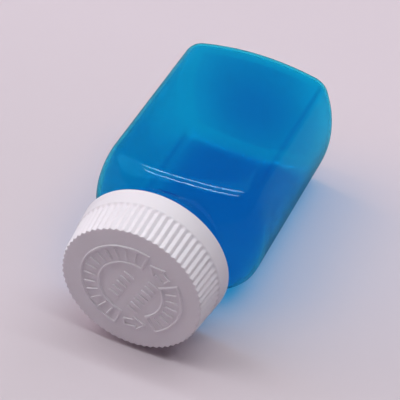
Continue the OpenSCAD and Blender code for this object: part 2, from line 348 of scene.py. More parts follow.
class BottleForm:
    """Radii and heights of the bottle's surface, worked out from its settings."""

    # Numbers of mesh columns over a side panel, a corner and a broad panel.
    SIDE_COLUMNS = 26
    CORNER_COLUMNS = 14
    BROAD_COLUMNS = 34
    # Numbers of mesh rings on each stretch of the outline.
    HOLLOW_RINGS = 44
    FOOT_RINGS = 6
    HEEL_RINGS = 9
    WALL_RINGS = 16
    CREASE_RINGS = 11
    DOME_RINGS = 14
    NECK_FOOT_RINGS = 10
    NECK_RINGS = 72
    LIP_RINGS = 5
    MOUTH_RINGS = 8
    INNER_HEEL_RINGS = 8
    INNER_BASE_RINGS = 20
    # Radius of the smallest ring round the axis.
    PIN = 0.3 * MM
    # The edge of the base's hollow is softened from this far inside it to this far outside it.
    EDGE_INSIDE = 0.6 * MM
    EDGE_OUTSIDE = 0.5 * MM
    # Angle over which the thread ridge rises and falls at its ends.
    THREAD_TAPER = math.radians(20)

    def __init__(self, settings):
        self.s = settings
        self.side_radius = bow_radius(HALF_DEPTH - settings.broad_bow, settings.side_bow)
        self.broad_radius = bow_radius(HALF_WIDTH - settings.side_bow, settings.broad_bow)
        # The middles of the panels' arcs, behind the axis as seen from each panel.
        self.side_back = self.side_radius - HALF_WIDTH
        self.broad_back = self.broad_radius - HALF_DEPTH
        self.corner = self.corner_middle()
        self.corner_reach = math.hypot(*self.corner)
        corner_radius = self.corner_reach + settings.corner_round
        dome_rise = math.sqrt(settings.dome_radius**2 - corner_radius**2)
        self.dome_height = settings.corner_height - dome_rise
        self.hollow_ball = bow_radius(settings.hollow_radius, settings.hollow_rise)
        self.theta = self.columns()

    def corner_middle(self):
        """Middle of a corner's round, which touches a side panel and a broad panel from inside."""
        apart = math.hypot(self.side_back, self.broad_back)
        from_broad = self.broad_radius - self.s.corner_round
        from_side = self.side_radius - self.s.corner_round
        along = (from_broad**2 - from_side**2 + apart**2) / (2 * apart)
        out = math.sqrt(from_broad**2 - along**2)
        across = (-along * self.side_back + out * self.broad_back) / apart
        up = -self.broad_back + (along * self.broad_back + out * self.side_back) / apart
        return across, up

    def corner_leans(self):
        """Directions out of a corner's middle to where its round meets the side and the broad panel."""
        across, up = self.corner
        return math.atan2(up, across + self.side_back), math.atan2(up + self.broad_back, across)

    def meeting_angles(self, inset):
        """Angles round the axis at which a side panel and a broad panel meet the round of a corner."""
        side_lean, broad_lean = self.corner_leans()
        side = self.side_radius - inset
        broad = self.broad_radius - inset
        low = math.atan2(side * math.sin(side_lean), side * math.cos(side_lean) - self.side_back)
        high = math.atan2(broad * math.sin(broad_lean) - self.broad_back, broad * math.cos(broad_lean))
        return low, high

    def columns(self):
        """Angles of the mesh columns, closer together round the corners."""
        low, high = self.meeting_angles(0.0)
        stretches = (
            (-low, low, self.SIDE_COLUMNS),
            (low, high, self.CORNER_COLUMNS),
            (high, math.pi - high, self.BROAD_COLUMNS),
            (math.pi - high, math.pi - low, self.CORNER_COLUMNS),
        )
        half = np.concatenate([np.linspace(a, b, n, endpoint=False) for a, b, n in stretches])
        return np.concatenate([half, half + math.pi])

    def section(self, inset):
        """Radius of the bowed oblong at each column, drawn in by an inset."""
        fold = np.arctan2(np.abs(np.sin(self.theta)), np.abs(np.cos(self.theta)))
        side = (self.side_radius - inset) ** 2 - (self.side_back * np.sin(fold)) ** 2
        broad = (self.broad_radius - inset) ** 2 - (self.broad_back * np.cos(fold)) ** 2
        lean = fold - math.atan2(self.corner[1], self.corner[0])
        corner = (self.s.corner_round - inset) ** 2 - (self.corner_reach * np.sin(lean)) ** 2
        on_side = np.sqrt(side) - self.side_back * np.cos(fold)
        on_broad = np.sqrt(broad) - self.broad_back * np.sin(fold)
        on_corner = np.sqrt(np.maximum(corner, 0.0)) + self.corner_reach * np.cos(lean)
        low, high = self.meeting_angles(inset)
        return np.where(fold < low, on_side, np.where(fold > high, on_broad, on_corner))

    def thread(self, height):
        """How far the thread ridge stands out at each column at one height."""
        s = self.s
        turn = 2 * math.pi
        low = LIP_H - s.thread_top - s.thread_pitch * s.thread_turns
        half_foot = s.thread_foot / 2
        half_crest = s.thread_crest / 2
        rise = np.zeros_like(self.theta)
        for lap in range(math.ceil(s.thread_turns)):
            along = self.theta % turn + lap * turn
            left = s.thread_turns * turn - along
            offset = np.abs(height - low - s.thread_pitch * along / turn)
            slope = (half_foot - offset) / (half_foot - half_crest)
            ends = smooth_step(along / self.THREAD_TAPER) * smooth_step(left / self.THREAD_TAPER)
            rise = np.maximum(rise, s.thread_depth * smooth_step(slope) * ends)
        return rise

    def base_height(self, radius):
        """Height of the outside of the base at a radius inside the hollow, with its nub."""
        s = self.s
        rise = s.hollow_rise - self.hollow_ball + np.sqrt(self.hollow_ball**2 - radius**2)
        return rise - s.gate_rise * smooth_step((s.gate_radius - radius) / s.gate_radius)

    def base_rings(self):
        """Rings of the outside from the middle of the base to its rounded edge."""
        s = self.s
        hollow = np.linspace(self.PIN, s.hollow_radius - self.EDGE_INSIDE, self.HOLLOW_RINGS)
        rings = [(radius, self.base_height(radius)) for radius in hollow]
        hollow_edge = s.hollow_radius + self.EDGE_OUTSIDE
        inner_edge = self.section(s.base_round)
        rings += even_rings((hollow_edge, 0.0), (inner_edge, 0.0), self.FOOT_RINGS)
        for to_go, gone in quarter_turn(self.HEEL_RINGS)[1:]:
            rings.append((self.section(s.base_round * to_go), s.base_round * gone))
        return rings

    def shoulder_rings(self, inset, tip):
        """Rings up the wall, round the crease, over the dome and through a hollow to a neck's radius."""
        s = self.s
        radius = self.section(inset)
        dome = s.dome_radius - inset
        crease_lean = np.arcsin(radius / dome)
        crease_height = self.dome_height + dome * np.cos(crease_lean)
        wall_top = crease_height - s.shoulder_round
        dome_lean = crease_lean - s.shoulder_round / dome
        dome_start = (dome * np.sin(dome_lean), self.dome_height + dome * np.cos(dome_lean))
        rings = even_rings((radius, s.base_round), (radius, wall_top), self.WALL_RINGS)[1:]
        for t in np.linspace(0.0, 1.0, self.CREASE_RINGS)[1:]:
            on_wall, on_crease, on_dome = (1 - t) ** 2, 2 * t * (1 - t), t * t
            rings.append((
                (on_wall + on_crease) * radius + on_dome * dome_start[0],
                on_wall * wall_top + on_crease * crease_height + on_dome * dome_start[1],
            ))
        hollow = s.neck_hollow + inset
        hollow_across = tip + hollow
        hollow_up = math.sqrt((dome + hollow) ** 2 - hollow_across**2)
        meet = math.atan2(hollow_up, hollow_across)
        for t in np.linspace(0.0, 1.0, self.DOME_RINGS)[1:]:
            lean = (1 - t) * dome_lean + t * (math.pi / 2 - meet)
            rings.append((dome * np.sin(lean), self.dome_height + dome * np.cos(lean)))
        for turn in np.linspace(math.pi + meet, math.pi, self.NECK_FOOT_RINGS)[1:]:
            rings.append((
                hollow_across + hollow * math.cos(turn),
                self.dome_height + hollow_up + hollow * math.sin(turn),
            ))
        return rings

    def neck_rings(self, neck_foot):
        """Rings from the foot of the threaded neck over the lip into the mouth."""
        s = self.s
        lip = s.lip_round
        rings = []
        for height in np.linspace(neck_foot, LIP_H - lip, self.NECK_RINGS)[1:]:
            rings.append((s.neck_radius + self.thread(height), height))
        edge = quarter_turn(self.LIP_RINGS)
        rings += [(s.neck_radius - lip * gone, LIP_H - lip * to_go) for to_go, gone in edge[1:]]
        rings += [(s.mouth_radius + lip * to_go, LIP_H - lip * gone) for to_go, gone in edge]
        return rings

    def inside_rings(self):
        """Rings of the inside from the mouth down to the middle of the base."""
        s = self.s
        down = self.shoulder_rings(s.wall, s.mouth_radius)[::-1]
        mouth = np.linspace(LIP_H - s.lip_round, down[0][1], self.MOUTH_RINGS)[1:-1]
        rings = [(s.mouth_radius, height) for height in mouth] + down
        inner_round = s.base_round - s.wall
        for to_go, gone in quarter_turn(self.INNER_HEEL_RINGS):
            rings.append((self.section(s.wall + inner_round * gone), s.wall + inner_round * to_go))
        inner_ball = self.hollow_ball + s.wall
        sink = s.hollow_rise - self.hollow_ball
        foot = math.sqrt(inner_ball**2 - (s.wall - sink) ** 2)
        inner_edge = self.section(s.base_round)
        rings += even_rings((inner_edge, s.wall), (foot, s.wall), self.FOOT_RINGS)[1:]
        for radius in np.linspace(foot, self.PIN, self.INNER_BASE_RINGS)[1:]:
            rings.append((radius, sink + math.sqrt(inner_ball**2 - radius**2)))
        return rings

    def skin(self):
        """Points and faces of the whole bottle, outside and inside."""
        up = self.shoulder_rings(0.0, self.s.neck_radius)
        rings = self.base_rings() + up + self.neck_rings(up[-1][1]) + self.inside_rings()
        outer_middle = self.s.hollow_rise - self.s.gate_rise
        return lathe(rings, self.theta, outer_middle, self.s.hollow_rise + self.s.wall)


class CapForm:
    """Radii and heights of the outer cap's surface, worked out from its settings."""

    COLUMNS_PER_RIB = 10
    # Numbers of mesh rings on each stretch of the outline.
    FACE_RINGS = 6
    EDGE_RINGS = 6
    RIB_RINGS = 6
    RIB_END_RINGS = 16
    BAND_RINGS = 5
    RIM_RINGS = 6
    # Radius of the smallest rings round the axis.
    PIN = 2.0 * MM
    # How far inside the grooves the flat of the face ends.
    FACE_INSET = 1.2 * MM
    # Powers that shape a groove from its crests to its floor.
    GROOVE_FLANK = 1.3
    GROOVE_FLOOR = 1.4
    # The band steps out over the second length, and starts the first one above the ends of the ribs.
    STEP_START = 0.6 * MM
    STEP_LENGTH = 0.8 * MM
    # Rings stand closer together from this far above the ends of the ribs to this far below them.
    END_ABOVE = 1.6 * MM
    END_BELOW = 0.4 * MM
    # Broken edges of the room inside, at the rim and under the top.
    RIM_BEVEL = 0.2 * MM
    TOP_BEVEL = 0.3 * MM

    def __init__(self, settings):
        self.s = settings
        self.face = MARK_TOP_H - settings.mark_height
        self.length = self.face - RIM_H
        columns = settings.rib_count * self.COLUMNS_PER_RIB
        self.theta = np.linspace(0.0, 2 * math.pi, columns, endpoint=False)
        # Place across one groove: nothing in its middle, one on the crests at both sides.
        turn = self.theta * settings.rib_count / (2 * math.pi)
        self.across = np.abs((turn % 1.0) - 0.5) * 2

    def crest(self, below_face):
        """Radius over the crests of the ribs at a distance below the face."""
        s = self.s
        return s.face_radius + (RIM_RADIUS - s.band_step - s.face_radius) * below_face / self.length

    def side(self, below_face):
        """Radius of the ribbed side at each column, with grooves that end round."""
        s = self.s
        half_groove = math.pi * s.face_radius / s.rib_count
        past_end = max(below_face - (s.rib_length - half_groove), 0.0) / half_groove
        away = np.clip(np.hypot(self.across, past_end), 0.0, 1.0)
        groove = s.rib_depth * (1 - away**self.GROOVE_FLANK) ** self.GROOVE_FLOOR
        past_step = below_face - s.rib_length + self.STEP_START
        step = s.band_step * smooth_step(past_step / self.STEP_LENGTH)
        return self.crest(below_face) + float(step) - groove

    def outside_rings(self):
        """Rings from the middle of the face over its edge and down the side to the rim."""
        s = self.s
        flat_end = s.face_radius - s.rib_depth - self.FACE_INSET
        rings = [(radius, self.face) for radius in np.linspace(self.PIN, flat_end, self.FACE_RINGS)]
        edge = s.edge_round
        for to_go, gone in quarter_turn(self.EDGE_RINGS):
            rings.append((self.side(edge) - edge * to_go, self.face - edge * gone))
        rounding = s.rib_length - self.END_ABOVE
        band = s.rib_length + self.END_BELOW
        for start, end, number in (
            (edge, rounding, self.RIB_RINGS),
            (rounding, band, self.RIB_END_RINGS),
            (band, self.length - s.rim_round, self.BAND_RINGS),
        ):
            for below in np.linspace(start, end, number)[1:]:
                rings.append((self.side(below), self.face - below))
        rim = self.crest(self.length) + s.band_step
        for to_go, gone in quarter_turn(self.RIM_RINGS)[1:]:
            rings.append((rim - s.rim_round * gone, RIM_H + s.rim_round * to_go))
        return rings

    def inside_rings(self):
        """Rings from the rim up inside the cap, past its bead, to the middle of its top."""
        s = self.s
        under_top = self.face - s.top_thickness
        bead_low = RIM_H + s.bead_start
        bead_high = bead_low + s.bead_height
        return [
            (s.cavity_rim + self.RIM_BEVEL, RIM_H),
            (s.cavity_rim, RIM_H + self.RIM_BEVEL),
            (s.cavity_rim, bead_low),
            (s.bead_radius, bead_low + s.bead_height / 3),
            (s.bead_radius, bead_high),
            (s.cavity_rim, bead_high),
            (s.cavity_rim, RIM_H + s.cavity_step),
            (s.cavity_radius, under_top - self.TOP_BEVEL),
            (s.cavity_radius - self.TOP_BEVEL, under_top),
            (s.lug_inner, under_top),
            (self.PIN, under_top),
        ]

    def skin(self):
        """Points and faces of the cap without its lugs and face marks."""
        rings = self.outside_rings() + self.inside_rings()
        return lathe(rings, self.theta, self.face, self.face - self.s.top_thickness)


LUG_STEPS = 6


def sector_block(inner, outer, middle, width, low, high):
    """Points and faces of a block that fills a sector of a ring between two heights."""
    steps = LUG_STEPS
    theta = np.linspace(middle - width / 2, middle + width / 2, steps)
    corners = [(inner, low), (outer, low), (outer, high), (inner, high)]
    points = np.concatenate([turned(radius, theta, height) for radius, height in corners])
    faces = []
    for k in range(4):
        a, b = k * steps, (k + 1) % 4 * steps
        faces += [(a + i, a + i + 1, b + i + 1, b + i) for i in range(steps - 1)]
    faces.append((0, steps, 2 * steps, 3 * steps))
    faces.append((steps - 1, 2 * steps - 1, 3 * steps - 1, 4 * steps - 1))
    return points, faces


SPRING_COLUMNS = 96


def flat_ring(inner, outer, low, high, edge):
    """Points and faces of a flat ring with broken edges."""
    theta = np.linspace(0.0, 2 * math.pi, SPRING_COLUMNS, endpoint=False)
    profile = [
        (inner, low + edge), (inner + edge, low), (outer - edge, low), (outer, low + edge),
        (outer, high - edge), (outer - edge, high), (inner + edge, high), (inner, high - edge),
    ]
    points = np.concatenate([turned(radius, theta, height) for radius, height in profile])
    return points, loop_faces(len(profile), len(theta))


FINGER_STEPS = 14
# A finger narrows from this share of its length on, like an arc of this reach, to a least width.
FINGER_TIP = 0.82
FINGER_TIP_REACH = 0.2
FINGER_TIP_LEAST = 0.05
# Share of a finger's rise that is an even slope. The rest is eased at both ends.
FINGER_SLOPE = 0.25


def bent_finger(middle, width, length, thickness, low, high, theta):
    """Points and faces of a spring finger that bends up out of the ring, with a rounded tip."""
    across_way = np.array([math.cos(theta), math.sin(theta)])
    along_way = np.array([-math.sin(theta), math.cos(theta)])
    points = []
    for t in np.linspace(0.0, 1.0, FINGER_STEPS):
        past = max(t - FINGER_TIP, 0.0) / FINGER_TIP_REACH
        half = width / 2 * math.sqrt(max(1 - past**2, FINGER_TIP_LEAST))
        bend = FINGER_SLOPE * t + (1 - FINGER_SLOPE) * float(smooth_step(t))
        under = low + (high - low - thickness) * bend
        over = under + thickness
        for across, height in ((-half, under), (half, under), (half, over), (-half, over)):
            flat = across_way * (middle + across) + along_way * length * t
            points.append(lay(flat[0], flat[1], height))
    faces = ring_faces(FINGER_STEPS, 4)
    faces += [(0, 1, 2, 3), tuple(range(4 * FINGER_STEPS - 4, 4 * FINGER_STEPS))]
    return np.array(points), faces


def gathered(parts):
    """Points and faces of several meshes as one."""
    points, faces, first = [], [], 0
    for part_points, part_faces in parts:
        points.append(part_points)
        faces += [tuple(first + i for i in face) for face in part_faces]
        first += len(part_points)
    return np.concatenate(points), faces


# Outline of a raised line: places across it in shares of its width, and heights in shares of its rise.
BEAD_ACROSS = np.array([-0.5, -0.43, -0.28, 0.0, 0.28, 0.43, 0.5])
BEAD_RISE = np.array([-0.2, 0.6, 0.95, 1.0, 0.95, 0.6, -0.2])
# Points past an end of an open line: shares of its width, and distances in halves of its width.
TIP_WIDTH = np.array([0.35, 0.75])
TIP_REACH = np.array([1.0, 0.6])
# A line widens at a corner, though not past what this cosine of half the bend asks for.
BEND_LEAST = 0.6


def directions(steps):
    """Steps brought to a length of one, or left at nothing."""
    return steps / np.maximum(np.linalg.norm(steps, axis=1, keepdims=True), 1e-12)


def round_ends(path, along, side, bend, width):
    """Adds narrowing points at both ends of an open line."""
    reach = width / 2 * TIP_REACH
    lead = path[0] - np.outer(reach, along[0])
    tail = path[-1] + np.outer(reach[::-1], along[-1])
    added = len(TIP_REACH)
    scale = np.concatenate([TIP_WIDTH, np.ones(len(path)), TIP_WIDTH[::-1]])
    side = np.pad(side, ((added, added), (0, 0)), mode="edge")
    bend = np.pad(bend, added, constant_values=1.0)
    return np.vstack([lead, path, tail]), side, bend, scale


def bead(path, width, low, rise, closed):
    """A raised round-topped line along a path of flat points on the cap's face."""
    path = np.asarray(path, float)
    if closed:
        before, after = np.roll(path, 1, axis=0), np.roll(path, -1, axis=0)
    else:
        before, after = np.vstack([path[:1], path[:-1]]), np.vstack([path[1:], path[-1:]])
    first = directions(path - before)
    second = directions(after - path)
    along = directions(first + second)
    side = np.stack([along[:, 1], -along[:, 0]], axis=1)
    ahead = np.where(np.any(second, axis=1, keepdims=True), second, first)
    bend = np.clip(np.sum(along * ahead, axis=1), BEND_LEAST, 1.0)
    scale = np.ones(len(path))
    if not closed:
        path, side, bend, scale = round_ends(path, along, side, bend, width)
    rows = []
    for across, lift in zip(BEAD_ACROSS, BEAD_RISE):
        flat = path + side * (across * width * scale / bend)[:, None]
        rows.append(lay(flat[:, 0], flat[:, 1], low + rise * lift))
    points = np.stack(rows, axis=1).reshape(-1, 3)
    lanes, stations = len(BEAD_ACROSS), len(path)
    if closed:
        return points, loop_faces(stations, lanes)
    ends = [tuple(range(lanes)), tuple(range((stations - 1) * lanes, stations * lanes))]
    return points, ring_faces(stations, lanes) + ends


# First and last angle of the two framed arcs on the cap's face.
LONG_ARC = (math.radians(72), math.radians(254))
SHORT_ARC = (math.radians(302), math.radians(387))
# An arrow stands in the middle of each gap between those arcs.
ARROW_ANGLES = ((SHORT_ARC[1] + LONG_ARC[0]) / 2 + math.pi, (LONG_ARC[1] + SHORT_ARC[0]) / 2)
# Width of an arrow's line as a share of that of the frames.
ARROW_LINE = 0.7
# First and last place of the two rows of plain bars in the middle, in millimetres, and their number.
MIDDLE_ROWS = (((-5.4, -3.6), (-0.6, 6.0), 5), ((1.0, -8.0), (7.5, 5.0), 7))
# Degrees between two points of a framed arc.
FRAME_STEP = 3
# Places of the points along one edge of an arrow.
ARROW_STEPS = (0.0, 0.12, 0.5, 0.88)


def flat_point(radius, theta):
    """A flat point on the face at a radius and an angle."""
    return np.array([radius * math.cos(theta), radius * math.sin(theta)])


def frame_path(inner, outer, start, end):
    """Outline of a sector of a ring on the face."""
    swing = np.linspace(start, end, int(math.degrees(end - start) / FRAME_STEP))
    there = [flat_point(outer, a) for a in swing]
    back = [flat_point(inner, a) for a in swing[::-1]]
    return there + back


def arrow_path(radius, theta, length, width):
    """Outline of a block arrow on the face that points the way the cap turns to open."""
    stem = width / 4
    outline = [
        (-stem, -length / 2), (stem, -length / 2), (stem, 0.0), (width / 2, 0.0),
        (0.0, length / 2), (-width / 2, 0.0), (-stem, 0.0),
    ]
    out, on = flat_point(1.0, theta), flat_point(1.0, theta + math.pi / 2)
    dense = []
    for (x0, y0), (x1, y1) in zip(outline, outline[1:] + outline[:1]):
        for t in ARROW_STEPS:
            x, y = x0 + t * (x1 - x0), y0 + t * (y1 - y0)
            dense.append(out * (radius + x) + on * y)
    return dense


def bar_path(middle, theta, length):
    """A short straight line on the face along a direction."""
    along = flat_point(length / 2, theta)
    return [middle - along, middle, middle + along]


def node(tree, kind, inputs=None, **settings):
    """A new node with its settings, and inputs that are set or linked."""
    made = tree.nodes.new(kind)
    for name, value in settings.items():
        setattr(made, name, value)
    for name, value in (inputs or {}).items():
        if isinstance(value, bpy.types.NodeSocket):
            tree.links.new(value, made.inputs[name])
        else:
            made.inputs[name].default_value = value
    return made


def new_material(name):
    """An empty node material and its tree."""
    material = bpy.data.materials.new(name)
    material.use_nodes = True
    material.node_tree.nodes.clear()
    return material, material.node_tree


def mixed_colour(tree, factor, first, second):
    """Colour output that blends from a first colour to a second one."""
    # A mix node has sockets of each type: the factor is its first, the colours its seventh and eighth.
    mix = node(tree, "ShaderNodeMix", {0: factor, 6: first, 7: second}, data_type="RGBA")
    return mix.outputs[2]


def math_node(tree, operation, *values, clamp=False):
    """Output of a math node over values or other outputs."""
    inputs = dict(enumerate(values))
    return node(tree, "ShaderNodeMath", inputs, operation=operation, use_clamp=clamp).outputs[0]


def eased(tree, value, low, high):
    """Output that eases from nothing at a low value to one at a high value, in either order."""
    return node(
        tree, "ShaderNodeMapRange", {"Value": value, "From Min": low, "From Max": high},
        interpolation_type="SMOOTHSTEP",
    ).outputs["Result"]


def span(tree, across, up):
    """Output with the length of a flat step across and up."""
    step = node(tree, "ShaderNodeCombineXYZ", {"X": across, "Y": up}).outputs["Vector"]
    return node(tree, "ShaderNodeVectorMath", {0: step}, operation="LENGTH").outputs["Value"]


SKIN_INPUTS = (
    ("Grain Scale", "NodeSocketFloat", 2500.0),
    ("Roughness Low", "NodeSocketFloat", 0.3),
    ("Roughness High", "NodeSocketFloat", 0.5),
    ("Shade Low", "NodeSocketColor", (0.8, 0.8, 0.8, 1.0)),
    ("Shade High", "NodeSocketColor", (0.9, 0.9, 0.9, 1.0)),
)
SKIN_OUTPUTS = (
    ("Height", "NodeSocketFloat"),
    ("Roughness", "NodeSocketFloat"),
    ("Colour", "NodeSocketColor"),
)


def moulded_skin_group():
    """Effect of moulded plastic: fine grain, slow unevenness and faint handling scuffs."""
    known = bpy.data.node_groups.get("moulded_skin")
    if known:
        return known
    group = bpy.data.node_groups.new("moulded_skin", "ShaderNodeTree")
    for name, kind, default in SKIN_INPUTS:
        socket = group.interface.new_socket(name, in_out="INPUT", socket_type=kind)
        socket.default_value = default
    for name, kind in SKIN_OUTPUTS:
        group.interface.new_socket(name, in_out="OUTPUT", socket_type=kind)
    given = node(group, "NodeGroupInput").outputs
    place = node(group, "ShaderNodeTexCoord").outputs["Object"]
    grain = node(
        group, "ShaderNodeTexNoise",
        {"Vector": place, "Scale": given["Grain Scale"], "Detail": 3.0},
    ).outputs["Fac"]
    slow = node(
        group, "ShaderNodeTexNoise",
        {"Vector": place, "Scale": 70.0, "Detail": 4.0, "Roughness": 0.6},
    ).outputs["Fac"]
    stretch = node(
        group, "ShaderNodeMapping",
        {"Vector": place, "Scale": (900.0, 60.0, 260.0), "Rotation": (0.4, 0.3, 0.9)},
    ).outputs["Vector"]
    scuffs = node(
        group, "ShaderNodeTexNoise", {"Vector": stretch, "Scale": 1.0, "Detail": 2.0},
    ).outputs["Fac"]
    scuff_mask = node(
        group, "ShaderNodeMapRange",
        {"Value": scuffs, "From Min": 0.62, "From Max": 0.78, "To Min": 0.0, "To Max": 0.35},
    ).outputs["Result"]
    worn = math_node(group, "ADD", slow, scuff_mask, clamp=True)
    rough = node(
        group, "ShaderNodeMapRange",
        {"Value": worn, "From Min": 0.3, "From Max": 0.8,
         "To Min": given["Roughness Low"], "To Max": given["Roughness High"]},
    ).outputs["Result"]
    shade = mixed_colour(group, slow, given["Shade Low"], given["Shade High"])
    node(group, "NodeGroupOutput", {"Height": grain, "Roughness": rough, "Colour": shade})
    return group


def skinned(tree, base, spread, grain_scale, rough_low, rough_high):
    """Outputs of the moulded-skin effect in a material with its own colour and roughness."""
    return node(
        tree, "ShaderNodeGroup",
        {
            "Grain Scale": grain_scale, "Roughness Low": rough_low, "Roughness High": rough_high,
            "Shade Low": [c * (1 - spread) for c in base] + [1.0],
            "Shade High": [min(c * (1 + spread), 1.0) for c in base] + [1.0],
        },
        node_tree=moulded_skin_group(),
    ).outputs


def moulded_body(tree, skin, height, bump_strength, bump_depth, more):
    """Shader with a moulded skin's colour and roughness, a bump, and more inputs by name."""
    bump = node(
        tree, "ShaderNodeBump",
        {"Height": height, "Strength": bump_strength, "Distance": bump_depth},
    )
    inputs = {
        "Base Color": skin["Colour"], "Roughness": skin["Roughness"],
        "Normal": bump.outputs["Normal"], **more,
    }
    return node(tree, "ShaderNodeBsdfPrincipled", inputs).outputs[0]


# Where each tint of the bottle's wall has faded to nothing, and where it is full.
# Distances from the base:
BASE_FADE = (6.0 * MM, 4.0 * MM)
LOW_END_FADE = (30.0 * MM, 3.0 * MM)
# Distances from the nearest panel, from a corner's middle line, and out from a corner's middle:
HEEL_FADE = (6.5 * MM, 5.0 * MM)
EDGE_SHADE_FADE = (1.4 * MM, 0.0)
OUTSIDE_FADE = (0.0, 4.0 * MM)
# Shares of the hollow's radius, of half the bottle's width, and of the corners' height from the base:
MIDDLE_FADE = (1.9, 0.1)
LOW_CORNER_LIGHT_FADE = (0.3, 0.95)
SHOULDER_FADE = (1.0, 0.7)


def wall_tint(tree, settings, form, even_tint):
    """Colour that a wall lets through: deep in mid-base and light at the heel, with painted shade as a
    darker line along the long corners, partly a thicker wall, and painted light on the sides near the
    base, partly thinner plastic.
    """

    def combined(operation, first, second):
        return math_node(tree, operation, first, second)

    place = node(tree, "ShaderNodeTexCoord").outputs["Object"]
    along = node(tree, "ShaderNodeSeparateXYZ", {"Vector": place}).outputs
    across = math_node(tree, "ABSOLUTE", along["X"])
    up = math_node(tree, "ABSOLUTE", combined("SUBTRACT", along["Z"], AXIS_Z))
    radius = span(tree, across, up)
    base = eased(tree, along["Y"], *[BASE_Y - d for d in BASE_FADE])
    middle = eased(tree, radius, *[settings.hollow_radius * d for d in MIDDLE_FADE])
    from_broad = span(tree, across, combined("ADD", up, form.broad_back))
    from_side = span(tree, combined("ADD", across, form.side_back), up)
    to_broad = combined("SUBTRACT", form.broad_radius, from_broad)
    to_side = combined("SUBTRACT", form.side_radius, from_side)
    heel = eased(tree, combined("MINIMUM", to_broad, to_side), *HEEL_FADE)
    # Painted shade: a darker line along the middle of each long corner, partly a thicker wall.
    lean = sum(form.corner_leans()) / 2
    off_across = combined("MULTIPLY", combined("SUBTRACT", across, form.corner[0]), math.sin(lean))
    off_up = combined("MULTIPLY", combined("SUBTRACT", up, form.corner[1]), math.cos(lean))
    off_corner = math_node(tree, "ABSOLUTE", combined("SUBTRACT", off_across, off_up))
    edge = eased(tree, off_corner, *EDGE_SHADE_FADE)
    outside = eased(tree, radius, *[form.corner_reach + d for d in OUTSIDE_FADE])
    shoulder = [BASE_Y - d * settings.corner_height for d in SHOULDER_FADE]
    below_shoulder = eased(tree, along["Y"], *shoulder)
    # Painted light: lighter towards the sides near the base, partly thinner plastic.
    low_corner_light = eased(tree, across, *[d * HALF_WIDTH for d in LOW_CORNER_LIGHT_FADE])
    low_end = eased(tree, along["Y"], *[BASE_Y - d for d in LOW_END_FADE])
    shade = even_tint
    for mask, other, tint in (
        (low_corner_light, low_end, settings.corner_light_tint),
        (combined("MULTIPLY", edge, outside), below_shoulder, settings.edge_shade_tint),
        (middle, base, settings.base_tint),
        (heel, base, settings.heel_tint),
    ):
        shade = mixed_colour(tree, combined("MULTIPLY", mask, other), shade, [*tint, 1.0])
    return shade


def blue_plastic(settings, form):
    """Clear blue bottle plastic that tints the light it lets through."""
    material, tree = new_material("clear_blue")
    skin = skinned(
        tree, settings.tint, spread=0.03, grain_scale=1100.0, rough_low=0.04, rough_high=0.07
    )
    glass = moulded_body(
        tree, skin, skin["Height"], bump_strength=0.06, bump_depth=0.2 * MM,
        more={
            "Base Color": wall_tint(tree, settings, form, skin["Colour"]),
            "IOR": 1.4, "Transmission Weight": settings.clearness,
        },
    )
    # Light that only passes through on its way goes straight, so that the shadow is blue and soft.
    thin_tint = [math.sqrt(c) for c in settings.tint]
    film = node(tree, "ShaderNodeBsdfTransparent", {"Color": [*thin_tint, 1.0]}).outputs[0]
    path = node(tree, "ShaderNodeLightPath").outputs
    straight = math_node(tree, "MAXIMUM", path["Is Shadow Ray"], path["Is Diffuse Ray"])
    mixed = node(tree, "ShaderNodeMixShader", {0: straight, 1: glass, 2: film}).outputs[0]
    node(tree, "ShaderNodeOutputMaterial", {"Surface": mixed})
    return material


def white_plastic(name, base, rough_low, rough_high, bump_strength, milkiness):
    """Opaque moulded plastic with a fine grain and a little light spread inside it."""
    material, tree = new_material(name)
    skin = skinned(
        tree, base, spread=0.02, grain_scale=2600.0, rough_low=rough_low, rough_high=rough_high
    )
    body = moulded_body(
        tree, skin, skin["Height"], bump_strength, bump_depth=0.1 * MM,
        more={
            "IOR": 1.49, "Subsurface Weight": milkiness,
            "Subsurface Radius": (1.0, 0.85, 0.8), "Subsurface Scale": 1.2 * MM,
        },
    )
    node(tree, "ShaderNodeOutputMaterial", {"Surface": body})
    return material


def liner_foam(base):
    """Pressed foam of the liner, with small closed cells."""
    material, tree = new_material("pressed_foam")
    skin = skinned(tree, base, spread=0.04, grain_scale=1500.0, rough_low=0.7, rough_high=0.9)
    place = node(tree, "ShaderNodeTexCoord").outputs["Object"]
    cells = node(tree, "ShaderNodeTexVoronoi", {"Vector": place, "Scale": 1800.0})
    body = moulded_body(
        tree, skin, cells.outputs["Distance"], bump_strength=0.35, bump_depth=0.2 * MM, more={}
    )
    node(tree, "ShaderNodeOutputMaterial", {"Surface": body})
    return material


def seen_ray(tree, path):
    """Output that is one for what is seen straight or through clear plastic."""
    return math_node(tree, "MAXIMUM", path["Is Camera Ray"], path["Is Transmission Ray"])


def mirrored_ray(tree, path):
    """Output that is one for what a shiny surface mirrors."""
    return math_node(tree, "SUBTRACT", path["Is Glossy Ray"], path["Is Transmission Ray"], clamp=True)


# The floor shows its own lit colour up to the first distance, and an even backdrop from the second.
FLOOR_LIT = 0.24
FLOOR_FAR = 0.45


